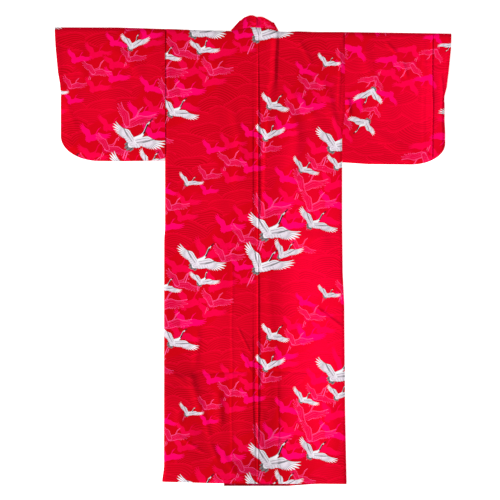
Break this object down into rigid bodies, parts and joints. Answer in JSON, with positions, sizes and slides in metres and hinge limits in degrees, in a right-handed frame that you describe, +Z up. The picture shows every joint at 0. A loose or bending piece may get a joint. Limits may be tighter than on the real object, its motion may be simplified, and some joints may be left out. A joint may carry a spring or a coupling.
{
  "type": "yukata",
  "caption": "Unlined cotton robe laid out flat with its back up, with square sleeves rounded at the lower corner, front overlaps and a long folded collar band.",
  "frame": {"origin": "middle of the garment's outline, on the surface it lies on", "axes": "+Y from the hem to the collar, +X towards the wearer's right sleeve, +Z up out of the back of the garment"},
  "size_m": [1.339, 1.5848, 0.009],
  "materials": {
    "printed_cotton": "matte crimson cotton printed with flying cranes over fine wave arcs"
  },
  "bodies": {
    "root": {"body_left": "printed_cotton", "body_right": "printed_cotton", "okumi_left": "printed_cotton", "okumi_right": "printed_cotton", "sleeve_left": "printed_cotton", "sleeve_right": "printed_cotton", "collar": "printed_cotton"}
  },
  "joints": []
}
